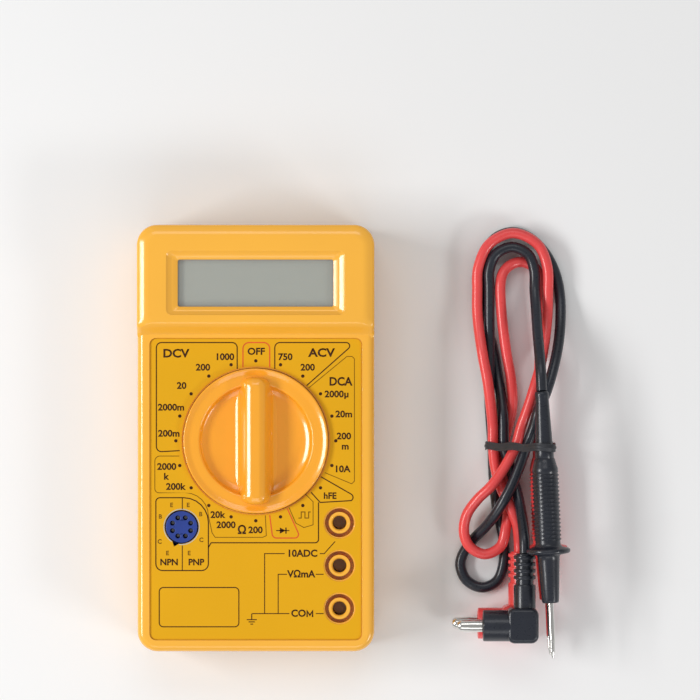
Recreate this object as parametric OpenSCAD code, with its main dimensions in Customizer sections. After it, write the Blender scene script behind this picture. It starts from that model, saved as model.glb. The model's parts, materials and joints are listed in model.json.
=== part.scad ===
// Pocket digital multimeter with its two test leads.
// Frame: the meter lies on its back. +X right, +Y towards the display, +Z out of the front.
// Origin: bottom centre of the meter. Millimetres.

/* [Case] */
// Width of the case
case_w = 70; // [68:1:76]
// Length of the case
case_l = 126; // [124:1:132]
// Radius of the case's corners
case_r = 6; // [4:0.5:8]
// Height of the front rim
rim_z = 22.4; // [22.4:0.1:23]
// Height of the raised display block
block_z = 26; // [25.6:0.1:26.4]
// Height of the parting line
parting_z = 12; // [11:0.5:12]
// Wall thickness of both case halves
wall = 2; // [1.6:0.1:2.2]

/* [Label] */
// Width of the label recess
label_w = 62.4; // [60:0.2:63]
// Lowest edge of the label recess
label_y0 = -59.4; // [-60:0.2:-58]
// Highest edge of the label recess
label_y1 = 29.5; // [28:0.5:30]

/* [Display] */
// Centre of the window along the case
window_y = 45.8; // [45:0.2:47]
// Width of the window opening
window_w = 46.8; // [44:0.2:47]
// Height of the window opening
window_h = 14.4; // [13:0.2:15]

/* [Dial] */
// Centre of the dial along the case
dial_y = -0.7; // [-1:0.1:0]
// Radius of the dial
dial_r = 21.3; // [20.8:0.1:21.4]
// Length of the grip bar
bar_l = 37; // [34:0.5:37.5]
// Width of the grip bar
bar_w = 6.1; // [5:0.1:7]
// Height of the grip bar's top
dial_top_z = 27.5; // [27:0.5:29]
// Number of switch positions
dial_steps = 20; // [20:10:40]

/* [Jacks] */
// Distance of the jacks from the case's middle line
jack_x = 24.7; // [24.4:0.1:25]
// Lowest jack's place along the case
jack_y0 = -50.2; // [-50.4:0.1:-50]
// Distance between neighbouring jacks
jack_pitch = 12.65; // [12.6:0.05:12.7]
// Radius of the socket's bore, for a 4 mm plug
jack_bore_r = 2.05; // [2.02:0.01:2.1]

/* [Transistor socket] */
// Centre of the socket across the case
hfe_x = -21.9; // [-22.2:0.1:-21.6]
// Centre of the socket along the case
hfe_y = -26.1; // [-26.4:0.1:-25.8]
// Radius of the socket's face
hfe_r = 4.65; // [4.5:0.05:4.8]

/* [Test leads] */
// Diameter of each lead's cord
cord_d = 3.2; // [3:0.1:3.3]
// Diameter of each probe's grip
grip_d = 8; // [7.2:0.2:8.2]
// Diameter of each probe's finger guard
guard_d = 13; // [12:0.5:13]
// Height of the red probe's axis above the table
probe_z_low = 6.5; // [6.5:0.1:7]
// Height of the black probe's axis above the table
probe_z_high = 19.6; // [19.6:0.1:20]

/* [Hidden] */
$fn = 64;
eps = 0.05;

// Heights of the inner pieces, from the table up
label_t = 0.3;
label_floor_z = rim_z - 0.8;
roof_z = label_floor_z - wall;
block_roof_z = block_z - wall;
board_z0 = 11;
board_t = 1.6;
board_z1 = board_z0 + board_t;
label_l = label_y1 - label_y0;
label_mid_y = (label_y0 + label_y1) / 2;
block_y0 = 29.5;
hfe_key_angle = 249;
jack_ys = [for (i = [0:2]) jack_y0 + i * jack_pitch];
jack_collar_r = 3.18;
jack_well_r = 4.28;
jack_well_z = 13.4;
sleeve_r = 2.55;
sleeve_z0 = 8.6;
sleeve_z1 = label_floor_z - 1.6;
dial_gap = 0.3;
flange_r = 22.8;
flange_z0 = 14.4;
flange_z1 = roof_z - 0.3;
collar_r0 = 23.4;
collar_r1 = 25.4;
case_screw_at = [[-28.8, 29], [28.8, 29]];
board_screw_at = [[-29, 17], [29, 17], [-29, -14], [29, -14]];

// Display stack
lens_z0 = block_roof_z - 1;
lcd_w = 53;
lcd_l = 20;
lcd_z0 = 20.6;
lcd_z1 = 22.7;

// Battery lying in the lower left of the case, fuse, shunt and small components
battery_x0 = -31.2;
battery_y0 = -60.2;
battery_y1 = -34.2;
battery_mid_y = (battery_y0 + battery_y1) / 2;
battery_z = 11.15;
fuse_x = -2;
fuse_y = -27;
fuse_z = 6.8;
shunt_y0 = -44;
shunt_y1 = -31;
shunt_z = 5.5;
resistor_at = [for (x = [-18, -6, 6, 18], y = [-18, -12, 34, 40]) [x, y]];
socket_holes = [for (k = [0:7]) 2.9 * [cos(22.5 + 45 * k), sin(22.5 + 45 * k)]];

// Rotor of the dial: pockets for the detent balls and springs
detent_z = 16.9;
ball_r = 1.25;
ball_at = 21.7;

// Test leads: place of each probe and plug
probe_x = 86;
probe_y = -21.6;
probe_lean = 2.4;
plug_z_low = 4.75;
plug_z_high = 14.3;
leg_x = 79.75;
red_shift = -1.2;

// Route of each cord, from its probe's boot to its plug
black_route = [
    [84.5, 14, 19.6], [84.3, 20, 18.6], [84, 26, 15.6], [83.7, 32, 11.6], [83.5, 38, 8],
    [83.2, 44, 5.6], [83.1, 50, 4.9], [81.2, 54.8, 4.9], [76.4, 57, 4.9], [71.6, 54.8, 4.9],
    [69.6, 50, 4.9], [69.6, 45, 4.9], [69.6, 36, 4.9], [69.7, 27, 4.9], [69.6, 19, 4.7],
    [69.8, 10, 3.2], [70.3, 3, 2.5], [70.7, -2.7, 2.5], [70.9, -9, 1.8], [71.4, -16, 1.7],
    [72.3, -23, 1.6], [73.9, -30, 1.6], [74.2, -37, 1.6], [72.3, -43.1, 1.6], [67.6, -45.4, 1.6],
    [62.9, -43.2, 1.6], [61, -38.6, 1.6], [62.2, -34.6, 1.6], [64.8, -31, 1.6], [68, -27.6, 4],
    [71, -23.6, 7], [73.6, -19.2, 9], [76, -14.6, 9.4], [78.6, -8.4, 9.3], [80.6, -2.7, 9.1],
    [82.6, 3, 10.6], [84, 8.4, 12.2], [86.4, 14, 12.4], [88.6, 21, 10.4], [90.2, 28, 7.4],
    [91, 35, 4.4], [91, 42, 2.4], [89.8, 48.6, 1.6], [87, 54.6, 1.6], [82.6, 59.4, 1.6],
    [77, 61.6, 1.6], [71.6, 59.8, 1.6], [68.2, 55, 1.6], [67, 48.4, 1.6], [67.3, 41, 1.6],
    [68.8, 33.6, 1.6], [71, 26, 1.6], [72.2, 19, 2.2], [73.2, 12, 4], [73.8, 5, 5.6],
    [74, -2.7, 5.8], [75.6, -8, 5.6], [77.2, -14, 5.6], [78.6, -20, 7.6], [79.4, -26, 11.2],
    [79.7, -30.4, 13.6], [79.75, -34.4, 14.3]
];
red_route = [
    [84.5, 14, 6.5], [84.6, 19, 5.4], [84.9, 25, 3.6], [85.4, 32, 2], [85.4, 39, 1.6],
    [85.3, 46.4, 1.6], [83.5, 50.8, 1.6], [79.2, 52.6, 2], [74.9, 50.8, 3.4], [73, 46.4, 4.7],
    [73.3, 37, 4.9], [74.6, 26, 4.9], [76.2, 17, 4.4], [76.6, 9, 3], [75.2, 2.5, 2.5],
    [74, -2.7, 2.5], [74.4, -9, 2.2], [75, -15, 2.2], [75.3, -21, 2.8], [74.6, -27.4, 4.7],
    [73, -32.8, 4.9], [68.4, -35.2, 4.9], [63.8, -33, 4.9], [62, -28.6, 4.9], [62.8, -23.4, 5.6],
    [66, -18.6, 7.6], [70, -14.6, 9], [73.6, -9.6, 9.1], [77.3, -2.7, 9.1], [78.9, 3, 9.4],
    [81, 9, 10.2], [83, 15.4, 10.2], [84.9, 22, 8.8], [86.2, 29, 6.8], [87, 36, 5.2],
    [87.2, 43, 4.9], [87, 51, 4.9], [84, 57.9, 4.9], [76.8, 61.2, 4.9], [69.6, 57.9, 4.9],
    [66.3, 50.8, 4.9], [66, 44, 4.9], [66, 37.4, 5.2], [66.6, 31, 6.4],
    [67.6, 24, 8.2], [69, 16.6, 8.2], [70, 9, 7.2], [70.6, 3, 6.2], [70.7, -2.7, 5.8],
    [71.4, -9, 5.2], [73, -15, 5.2], [75.6, -20.5, 6.4], [77.8, -26, 6.4], [78.5, -31, 5.1],
    [78.55, -34.4, 4.75]
];

yellow = "orange";
label_yellow = "gold";

// A flat rounded rectangle centred on the origin, made of squares and circles
module rounded_rect(w, l, r) {
    square([w - 2 * r, l], center = true);
    square([w, l - 2 * r], center = true);
    for (sx = [-1, 1], sy = [-1, 1])
        translate([sx * (w / 2 - r), sy * (l / 2 - r)])
            circle(r);
}

// The same outline as a plate between two heights
module rounded_plate(w, l, r, z0, z1) {
    translate([0, 0, z0])
        linear_extrude(z1 - z0)
            rounded_rect(w, l, r);
}

// A plate whose upper or lower edge is drawn in by a bevel
module bevelled_plate(w, l, r, z0, z1, inset) {
    hull() {
        rounded_plate(w, l, r, z0, z0 + eps, $fn = 32);
        rounded_plate(w - 2 * inset, l - 2 * inset, r - inset, z1 - eps, z1, $fn = 32);
    }
}

module at_each(places) {
    for (p = places)
        translate([p[0], p[1], 0])
            children();
}

module tube(outer_r, inner_r, z0, z1) {
    translate([0, 0, z0])
        difference() {
            cylinder(r = outer_r, h = z1 - z0);
            translate([0, 0, -eps])
                cylinder(r = inner_r, h = z1 - z0 + 2 * eps);
        }
}

module rod(r, z0, z1) {
    translate([0, 0, z0])
        cylinder(r = r, h = z1 - z0);
}

// ---------- Case ----------

module front_case() {
    color(yellow)
    difference() {
        union() {
            difference() {
                front_case_outside();
                front_case_cavity();
            }
            front_case_posts();
        }
        front_case_openings();
    }
}

module front_case_outside() {
    bevel = 1.4;
    rounded_plate(case_w, case_l, case_r, parting_z, rim_z - bevel);
    bevelled_plate(case_w, case_l, case_r, rim_z - bevel, rim_z, bevel);
    // raised block round the display
    block_l = case_l / 2 - block_y0;
    hull() {
        translate([0, block_y0 + block_l / 2, 0])
            rounded_plate(case_w, block_l, 2, rim_z - bevel - 1, rim_z - bevel, $fn = 32);
        translate([0, block_y0 + block_l / 2 - 0.2, 0])
            rounded_plate(case_w - 2, block_l - 3, 3, rim_z + 1, rim_z + 1.4, $fn = 32);
        translate([0, window_y, 0])
            rounded_plate(case_w - 8, 27, 3, block_z - eps, block_z, $fn = 32);
    }
}

module front_case_cavity() {
    inner_w = case_w - 2 * wall;
    inner_l = case_l - 2 * wall;
    rounded_plate(inner_w, inner_l, case_r - wall, parting_z - 1, roof_z);
    translate([0, window_y + 0.2, 0])
        rounded_plate(58, 25, 2, roof_z - 1, block_roof_z);
}

module front_case_posts() {
    // collar that guides the knob's flange, with a notch for each switch position
    translate([0, dial_y, 0])
        difference() {
            tube(collar_r1, collar_r0, board_z1 + 0.6, roof_z + eps);
            for (i = [0:dial_steps - 1])
                rotate(i * 360 / dial_steps + 9)
                    translate([collar_r0 + 0.6, 0, board_z1])
                        cylinder(r = 1.1, h = 5, $fn = 24);
        }
    at_each(case_screw_at)
        tube(3.2, 1.3, parting_z + 0.1, roof_z + eps);
    at_each(board_screw_at)
        tube(2.6, 0.9, board_z1 + eps, roof_z + eps);
    // posts that hold the jack sleeves
    for (y = jack_ys)
        translate([jack_x, y, 0])
            rod(jack_well_r + 1.2, jack_well_z, roof_z + eps);
}

module front_case_openings() {
    // recess for the label
    translate([0, label_mid_y, 0])
        rounded_plate(label_w + 0.3, label_l + 0.3, 2, label_floor_z, rim_z + 8);
    // sloped bezel and window opening
    translate([0, window_y, 0]) {
        hull() {
            rounded_plate(window_w, window_h, 0.8, block_z - 1.1, block_z - 1.05, $fn = 32);
            rounded_plate(window_w + 6, window_h + 4.4, 1.5, block_z, block_z + eps, $fn = 32);
        }
        rounded_plate(window_w, window_h, 0.8, block_roof_z - 1, block_z);
    }
    translate([0, dial_y, 0])
        rod(dial_r + dial_gap, roof_z - 1, rim_z + 8);
    translate([hfe_x, hfe_y, 0]) {
        rod(hfe_r + 0.3, roof_z - 1, rim_z);
        key_shape(6.1, roof_z - 1, rim_z);
    }
    // ring-shaped well, sleeve pocket and mouth of each jack
    for (y = jack_ys)
        translate([jack_x, y, 0]) {
            tube(jack_well_r, jack_collar_r, jack_well_z + 1.2, rim_z);
            rod(sleeve_r + 0.05, jack_well_z - 1, sleeve_z1 + 0.05);
            rod(jack_bore_r, sleeve_z1, rim_z);
        }
}

module rear_case() {
    bevel = 1.6;
    color(yellow)
    difference() {
        union() {
            difference() {
                union() {
                    translate([0, 0, bevel])
                        mirror([0, 0, 1])
                            bevelled_plate(case_w, case_l, case_r, 0, bevel, bevel);
                    rounded_plate(case_w, case_l, case_r, bevel, parting_z - 0.05);
                }
                rounded_plate(case_w - 2 * wall, case_l - 2 * wall, case_r - wall, wall, parting_z);
            }
            // battery bay ribs
            translate([-33.2, battery_y1 + 0.4, wall - eps])
                cube([51, 1.2, 7]);
            translate([20.3, -61.2, wall - eps])
                cube([1.2, 28.7, 7]);
            at_each(case_screw_at)
                rod(4.4, wall - eps, parting_z - 0.05);
        }
        at_each(case_screw_at) {
            rod(1.6, -1, parting_z + 1);
            rod(3.1, -1, 7);
        }
    }
}

// Pointed key of the transistor socket, with straight flanks that meet in its tip
module key_shape(tip, z0, z1) {
    root = 3.8;
    flank = acos(root / tip);
    rotate(hfe_key_angle)
        translate([0, 0, z0])
            linear_extrude(z1 - z0)
                polygon([
                    [0, 0], root * [cos(flank), -sin(flank)],
                    [tip, 0], root * [cos(flank), sin(flank)]
                ]);
}

module front_label() {
    color(label_yellow)
    difference() {
        translate([0, label_mid_y, 0])
            rounded_plate(label_w, label_l, 1.9, label_floor_z + 0.01, label_floor_z + label_t);
        translate([0, dial_y, 0])
            rod(dial_r + 0.6, label_floor_z - 1, rim_z);
        translate([hfe_x, hfe_y, 0]) {
            rod(hfe_r + 0.4, label_floor_z - 1, rim_z);
            key_shape(6.3, label_floor_z - 1, rim_z);
        }
        for (y = jack_ys)
            translate([jack_x, y, 0])
                rod(jack_well_r + 0.42, label_floor_z - 1, rim_z);
    }
}

// ---------- Display ----------

module display_window() {
    color("lightblue", 0.4)
    translate([0, window_y, 0])
        rounded_plate(window_w + 3.6, window_h + 3.6, 1, lens_z0, block_roof_z - 0.02);
}

module lcd_panel() {
    color("darkseagreen")
    translate([0, window_y, 0])
        rounded_plate(lcd_w, lcd_l, 0.6, lcd_z0, lcd_z1);
}

module lcd_frame() {
    color("dimgray")
    translate([0, window_y, 0])
        difference() {
            rounded_plate(lcd_w + 2.6, lcd_l + 2.6, 1, board_z1 + 0.02, lcd_z1);
            rounded_plate(lcd_w + 0.2, lcd_l + 0.2, 0.6, lcd_z0 - 0.02, lcd_z1 + 1);
            rounded_plate(lcd_w - 3, lcd_l - 3, 0.6, board_z1 - 1, lcd_z1);
        }
}

module zebra_strip() {
    color("lightgray")
    translate([-24, window_y - lcd_l / 2 + 1.8, board_z1 + 0.02])
        cube([48, 2.2, lcd_z0 - board_z1 - 0.04]);
}

// ---------- Board and what it carries ----------

module main_board() {
    color("darkgreen")
    difference() {
        translate([0, 0, board_z0])
            linear_extrude(board_t)
                polygon([[-32, -32.4], [20.9, -32.4], [20.9, -60], [32, -60], [32, 60.5], [-32, 60.5]]);
        at_each(case_screw_at)
            rod(4.9, 0, 20);
        at_each(board_screw_at)
            rod(1.2, 0, 20);
        for (y = jack_ys)
            translate([jack_x, y, 0])
                rod(sleeve_r + 0.05, 0, 20);
        translate([hfe_x, hfe_y, 0])
            at_each(socket_holes)
                rod(0.6, 0, 20, $fn = 24);
    }
}

module jack(y) {
    color("goldenrod")
    translate([jack_x, y, 0])
        difference() {
            union() {
                rod(sleeve_r, sleeve_z0, sleeve_z1);
                rod(sleeve_r + 1, board_z0 - 0.9, board_z0 - 0.02);
            }
            rod(jack_bore_r, sleeve_z0 + 1, sleeve_z1 + 1);
        }
}

module jack_10a() {
    jack(jack_ys[2]);
}

module jack_volt_ohm() {
    jack(jack_ys[1]);
}

module jack_common() {
    jack(jack_ys[0]);
}

module transistor_socket() {
    color("royalblue")
    translate([hfe_x, hfe_y, 0])
        difference() {
            union() {
                rod(hfe_r, board_z1 + 0.02, rim_z);
                rod(hfe_r + 1, board_z1 + 0.02, roof_z - 0.3);
                key_shape(5.4, roof_z - 1, roof_z + 0.6);
            }
            at_each(socket_holes)
                rod(0.7, board_z1 - 1, rim_z + 1, $fn = 24);
        }
}

module socket_contacts() {
    color("silver")
    translate([hfe_x, hfe_y, 0])
        at_each(socket_holes)
            rod(0.45, board_z0 - 0.8, rim_z - 3, $fn = 16);
}

module chip_blob() {
    blob_r = 8.5;
    blob_h = 1.9;
    cap_r = (blob_r * blob_r + blob_h * blob_h) / (2 * blob_h);
    color("black")
    translate([0, 12, board_z0 - 0.02])
        intersection() {
            translate([0, 0, cap_r - blob_h])
                sphere(r = cap_r, $fn = 96);
            translate([0, 0, -blob_h])
                cylinder(r = blob_r, h = blob_h);
        }
}

module along_x(at) {
    translate(at)
        rotate([0, 90, 0])
            children();
}

module fuse_tube() {
    color("lightcyan", 0.5)
    along_x([fuse_x - 5, fuse_y, fuse_z])
        cylinder(r = 2.45, h = 10);
}

module fuse_caps() {
    color("silver")
    for (s = [-1, 1])
        along_x([fuse_x + s * 7.51 - 2.5, fuse_y, fuse_z])
            cylinder(r = 2.6, h = 5);
}

module fuse_clips() {
    color("gainsboro")
    for (s = [-1, 1])
        translate([fuse_x + s * 7.5 - 1.8, fuse_y, 0])
            difference() {
                translate([0, -3.2, fuse_z - 1.5])
                    cube([3.6, 6.4, board_z0 - 0.02 - fuse_z + 1.5]);
                along_x([-1, 0, fuse_z])
                    cylinder(r = 2.64, h = 6);
                translate([-1, -2.4, fuse_z - 3])
                    cube([6, 4.8, 2.4]);
            }
}

module shunt_wire() {
    color("peru")
    for (y = [shunt_y0, shunt_y1])
        translate([30, y, shunt_z])
            cylinder(r = 0.75, h = board_z0 - 0.02 - shunt_z, $fn = 24);
    color("peru")
    for (y = [shunt_y0, shunt_y1])
        translate([30, y, shunt_z])
            sphere(r = 0.75, $fn = 24);
    color("peru")
    translate([30, shunt_y0, shunt_z])
        rotate([-90, 0, 0])
            cylinder(r = 0.75, h = shunt_y1 - shunt_y0, $fn = 24);
}

module trimmer() {
    color("steelblue")
    translate([-22, 21, board_z0 - 4.02])
        difference() {
            translate([-3.3, -3.5, 0])
                cube([6.6, 7, 4]);
            translate([0, 0, -1])
                cylinder(r = 1.9, h = 1.8);
            translate([-1.7, -0.35, 0])
                cube([3.4, 0.7, 1.4]);
        }
}

module resistors() {
    color("tan")
    for (p = resistor_at)
        along_x([p[0] - 3, p[1], board_z0 - 1.5])
            cylinder(r = 1.1, h = 6, $fn = 24);
}

module resistor_leads() {
    color("silver")
    for (p = resistor_at, s = [-1, 1])
        union() {
            along_x([p[0] + s * 3.6 - 0.6, p[1], board_z0 - 1.5])
                cylinder(r = 0.28, h = 1.2, $fn = 16);
            translate([p[0] + s * 4.2, p[1], board_z0 - 1.78])
                cylinder(r = 0.28, h = 1.76, $fn = 16);
        }
}

module capacitors() {
    color("firebrick")
    for (p = [[-12, 31], [0, 31], [12, 31]])
        translate([p[0] - 3.6, p[1] - 1.3, board_z0 - 6.02])
            cube([7.2, 2.6, 6]);
    color("navy")
    translate([19.6, 29.6, board_z0 - 7.02])
        cylinder(r = 2.5, h = 7);
}

module case_screws() {
    color("silver")
    at_each(case_screw_at)
        difference() {
            union() {
                rod(2.8, 4.8, 6.95);
                rod(1.25, 6.9, roof_z - 3);
            }
            rod(1.5, 4, 5.8, $fn = 24);
        }
}

module board_screws() {
    color("silver")
    at_each(board_screw_at)
        difference() {
            union() {
                rod(2, board_z0 - 1.6, board_z0 - 0.02);
                rod(0.85, board_z0 - 0.1, roof_z - 1);
            }
            rod(0.8, board_z0 - 3, board_z0 - 1, $fn = 24);
        }
}

// ---------- Battery ----------

module battery() {
    color("slategray")
    translate([battery_x0, battery_y0, 2.95])
        difference() {
            cube([45.2, battery_y1 - battery_y0, 16.4]);
            for (y = [0, battery_y1 - battery_y0])
                translate([-1, y - 0.8, -0.8])
                    cube([48, 1.6, 1.6]);
        }
}

module battery_terminals() {
    color("silver")
    for (s = [-1, 1])
        along_x([battery_x0 + 45.22, battery_mid_y + s * 6.35, battery_z])
            cylinder(r = s > 0 ? 2.9 : 4, h = 2);
}

module battery_snap() {
    color("dimgray")
    translate([battery_x0 + 47.3, battery_mid_y, battery_z])
        rotate([0, 90, 0])
            linear_extrude(2.8)
                rounded_rect(12.6, 25, 2.5);
}

module battery_wire_red() {
    color("red")
    sweep([
        [18, -43, 17.5], [18, -43, 17.9], [18, -42, 18.4], [18, -34.6, 18.4],
        [18, -32.2, 17.4], [18, -31, 15.4], [18, -31, board_z1 + 0.02]
    ], 0.55, 8, [1, 0, 0]);
}

module battery_wire_black() {
    color("dimgray")
    sweep([
        [17.4, -51, 17.5], [17.4, -51, 18], [17.2, -50, 18.6], [15.6, -33.2, 18.6],
        [15.4, -31.6, 17.6], [15.4, -30.2, 15.4], [15.4, -30.2, board_z1 + 0.02]
    ], 0.55, 8, [1, 0, 0]);
}

module foam_pad() {
    color("darkgray")
    translate([battery_x0 + 3, battery_y0 + 3, wall + 0.02])
        cube([40, 20, 0.9]);
}

// ---------- Dial ----------

module dial_knob() {
    bar_z0 = 19.8;
    color(yellow)
    translate([0, dial_y, 0])
        difference() {
            union() {
                rotate_extrude($fn = 96)
                    polygon([
                        [0, flange_z0], [flange_r, flange_z0], [flange_r, flange_z1],
                        [dial_r, flange_z1], [dial_r, 23.1], [dial_r - 0.5, 23.6],
                        [20.1, 23.6], [16.4, 21.9], [14.6, 20.6], [11, 19.9], [0, 19.9]
                    ]);
                rounded_plate(bar_w, bar_l, 1.8, bar_z0, dial_top_z - 0.8);
                bevelled_plate(bar_w, bar_l, 1.8, dial_top_z - 0.8, dial_top_z, 0.7);
            }
            for (s = [0, 180])
                rotate(s)
                    along_x([14, 0, detent_z])
                        cylinder(r = ball_r + 0.1, h = 12);
        }
}

module wiper_contacts() {
    color("goldenrod")
    translate([0, dial_y, 0])
        for (a = [0, 120, 240], r = [12, 17])
            rotate(a)
                translate([r, 0, flange_z0])
                    difference() {
                        translate([-1, -4, -1.5])
                            cube([2, 8, 1.48]);
                        translate([-1.5, -2.6, -1.1])
                            cube([3, 5.2, 1.2]);
                    }
}

module detent_balls() {
    color("silver")
    translate([0, dial_y, detent_z])
        for (s = [-1, 1])
            translate([s * ball_at, 0, 0])
                sphere(r = ball_r, $fn = 32);
}

module detent_springs() {
    turns = 6;
    wire_r = 0.18;
    coil_r = 0.85;
    start = 14.3;
    coil_l = ball_at - ball_r - 0.3 - start;
    steps = turns * 8;
    color("silver")
    translate([0, dial_y, detent_z])
        for (s = [-1, 1])
            sweep([
                for (i = [0:steps])
                    let (a = i * 45)
                        [s * (start + coil_l * i / steps), coil_r * cos(a), coil_r * sin(a)]
            ], wire_r, 6, [1, 0, 0]);
}

// ---------- Swept tubes ----------

function unit(v) = v / norm(v);
function tangent(p, i) = unit(p[min(i + 1, len(p) - 1)] - p[max(i - 1, 0)]);

// One closed tube through a list of points, a ring of corners at each point
module sweep(points, r, sides, reference = [0, 0, 1]) {
    rings = [
        for (i = [0:len(points) - 1])
            let (t = tangent(points, i), side = unit(cross(t, reference)), up = cross(side, t))
                for (j = [0:sides - 1])
                    points[i] + r * (cos(j * 360 / sides) * side + sin(j * 360 / sides) * up)
    ];
    last = (len(points) - 1) * sides;
    walls = [
        for (i = [0:len(points) - 2], j = [0:sides - 1])
            let (k = (j + 1) % sides, a = i * sides, b = a + sides)
                [a + j, a + k, b + k, b + j]
    ];
    ends = [
        [for (j = [sides - 1:-1:0]) j],
        [for (j = [0:sides - 1]) last + j]
    ];
    polyhedron(points = rings, faces = concat(walls, ends), convexity = 10);
}

// ---------- Test leads ----------

// Lays a piece drawn along its own Y axis where a probe lies
module at_probe(z) {
    translate([probe_x, probe_y, z])
        rotate(probe_lean)
            children();
}

// A round piece along Y from an outline of [radius, place along Y]
module turned_y(outline) {
    rotate([-90, 0, 0])
        rotate_extrude($fn = 48)
            polygon(outline);
}

module probe_handle(z) {
    ribs = 17;
    rib_pitch = 1.18;
    at_probe(z)
        difference() {
            union() {
                turned_y([
                    [0, -27.1], [2.5, -27.1], [3.25, -14], [3.25, -12.7], [guard_d / 2, -12.4],
                    [guard_d / 2, -10.8], [3.7, -10.4], [3.7, 12.4], [3.1, 15.6], [0, 15.6]
                ]);
                for (i = [0:ribs - 1])
                    translate([0, -8.6 + i * rib_pitch, 0])
                        rotate([-90, 0, 0])
                            cylinder(r = grip_d / 2, h = 0.6, $fn = 48);
            }
            // hole for the metal tip
            translate([0, -28, 0])
                rotate([-90, 0, 0])
                    cylinder(r = 0.95, h = 12, $fn = 24);
        }
}

module probe_boot(z) {
    at_probe(z)
        turned_y([[0, 15.62], [2.8, 15.62], [2.8, 17.4], [1.9, 35.55], [0, 35.55]]);
}

module probe_tip(z) {
    at_probe(z)
        turned_y([[0, -43.7], [0.3, -43.4], [0.7, -41.6], [0.92, -38], [0.92, -16.5], [0, -16.5]]);
}

module plug_body(x, z) {
    block_y0 = -60.9;
    leg_y0 = -50.4;
    pin_y = -55.9;
    translate([x, 0, z])
        difference() {
            union() {
                // block, leg with its grip rings, and the shroud round the pin
                translate([-5.3, block_y0, -4.7])
                    cube([9.3, leg_y0 - block_y0, 9.4]);
                translate([0, leg_y0 - 1, 0])
                    rotate([-90, 0, 0])
                        cylinder(r = 2.6, h = 17);
                for (i = [0:3])
                    translate([0, leg_y0 + 8.3 + 2 * i, 0])
                        rotate([-90, 0, 0])
                            cylinder(r = 3.25, h = 1.2);
                translate([0, leg_y0 - 1, 0])
                    rotate([-90, 0, 0])
                        cylinder(r = 3.25, h = 7.7);
                along_x([-12.4, pin_y, 0])
                    cylinder(r = 4.65, h = 8);
            }
            along_x([-13, pin_y, 0])
                cylinder(r = 3.4, h = 8);
            along_x([-13, pin_y, 0])
                cylinder(r = 2.02, h = 10.6);
        }
}

module plug_pin(x, z) {
    pin_y = -55.9;
    along_x([x - 20, pin_y, z])
        rotate_extrude($fn = 32)
            polygon([
                [0, 0], [1.2, 0], [1.7, 0.8], [1.95, 5], [1.7, 10], [1.7, 12.5], [1.98, 12.5],
                [1.98, 17.5], [0, 17.5]
            ]);
}

module lead(route) {
    sweep(route, cord_d / 2, 8);
}

module red_plug_body() {
    color("red")
        plug_body(leg_x + red_shift, plug_z_low);
}

module red_plug_pin() {
    color("silver")
        plug_pin(leg_x + red_shift, plug_z_low);
}

module red_probe_handle() {
    color("red")
        probe_handle(probe_z_low);
}

module red_probe_boot() {
    color("red")
        probe_boot(probe_z_low);
}

module red_probe_tip() {
    color("silver")
        probe_tip(probe_z_low);
}

module red_lead() {
    color("red")
        lead(red_route);
}

module black_plug_body() {
    color("dimgray")
        plug_body(leg_x, plug_z_high);
}

module black_plug_pin() {
    color("silver")
        plug_pin(leg_x, plug_z_high);
}

module black_probe_handle() {
    color("dimgray")
        probe_handle(probe_z_high);
}

module black_probe_boot() {
    color("dimgray")
        probe_boot(probe_z_high);
}

module black_probe_tip() {
    color("silver")
        probe_tip(probe_z_high);
}

module black_lead() {
    color("dimgray")
        lead(black_route);
}

// Outline of the bundle where the tie goes round it, grown by a margin
module bundle_outline(margin) {
    cord_r = cord_d / 2;
    hull()
        for (c = [[70.7, 2.5, cord_r], [70.7, 5.8, cord_r], [80.6, 2.6, cord_r],
                  [85.2, probe_z_low, 2.8], [85.2, probe_z_high, 2.8]])
            translate([c[0], c[1]])
                circle(r = c[2] + margin, $fn = 32);
}

module twist_tie() {
    tie_w = 2.4;
    color("dimgray")
    translate([0, -2.7 + tie_w / 2, 0])
        rotate([90, 0, 0])
            linear_extrude(tie_w)
                difference() {
                    bundle_outline(0.85);
                    bundle_outline(0.15);
                }
}

front_case();
rear_case();
front_label();
display_window();
lcd_panel();
lcd_frame();
zebra_strip();
main_board();
jack_10a();
jack_volt_ohm();
jack_common();
transistor_socket();
socket_contacts();
chip_blob();
fuse_tube();
fuse_caps();
fuse_clips();
shunt_wire();
trimmer();
resistors();
resistor_leads();
capacitors();
case_screws();
board_screws();
battery();
battery_terminals();
battery_snap();
battery_wire_red();
battery_wire_black();
foam_pad();
dial_knob();
wiper_contacts();
detent_balls();
detent_springs();
red_plug_body();
red_plug_pin();
red_probe_handle();
red_probe_boot();
red_probe_tip();
red_lead();
black_plug_body();
black_plug_pin();
black_probe_handle();
black_probe_boot();
black_probe_tip();
black_lead();
twist_tie();
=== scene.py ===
"""Looks of the pocket multimeter and its test leads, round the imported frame. Metres; MM turns the
millimetres of the design into metres."""
import json
import math
import bmesh
import bpy
from mathutils import Matrix, Vector


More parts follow.
